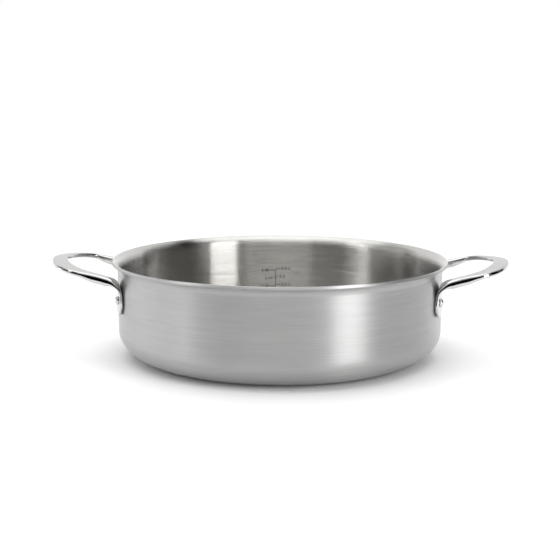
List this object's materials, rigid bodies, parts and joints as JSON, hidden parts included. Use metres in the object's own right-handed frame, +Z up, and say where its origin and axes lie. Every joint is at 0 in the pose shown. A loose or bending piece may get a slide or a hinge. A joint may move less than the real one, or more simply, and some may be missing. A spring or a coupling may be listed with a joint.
{
  "type": "roasting pot",
  "caption": "Low round roasting pot of clad steel with a flared pouring rim, a rounded base corner and riveted loop handles on opposite sides.",
  "frame": {"origin": "middle of the base's underside, on the floor the pot stands on", "axes": "+Z up along the pot's axis, +X along the line through both handles towards the right handle, +Y towards the wall with the etched scale"},
  "size_m": [0.4026, 0.2952, 0.0865],
  "materials": {
    "liner_steel": "fine circular brushing, satin",
    "core_aluminium": "bare cut edge at the lip, otherwise hidden",
    "shell_steel": "fine circular brushing, satin",
    "handle_steel": "polished cast stainless steel, satin top face on the grip",
    "rivet_steel": "polished stainless steel"
  },
  "bodies": {
    "root": {"inner_ply": "liner_steel", "core_ply": "core_aluminium", "outer_ply": "shell_steel", "handle_left": "handle_steel", "handle_right": "handle_steel", "rivet_left_front": "rivet_steel", "rivet_left_rear": "rivet_steel", "rivet_right_front": "rivet_steel", "rivet_right_rear": "rivet_steel"}
  },
  "joints": []
}
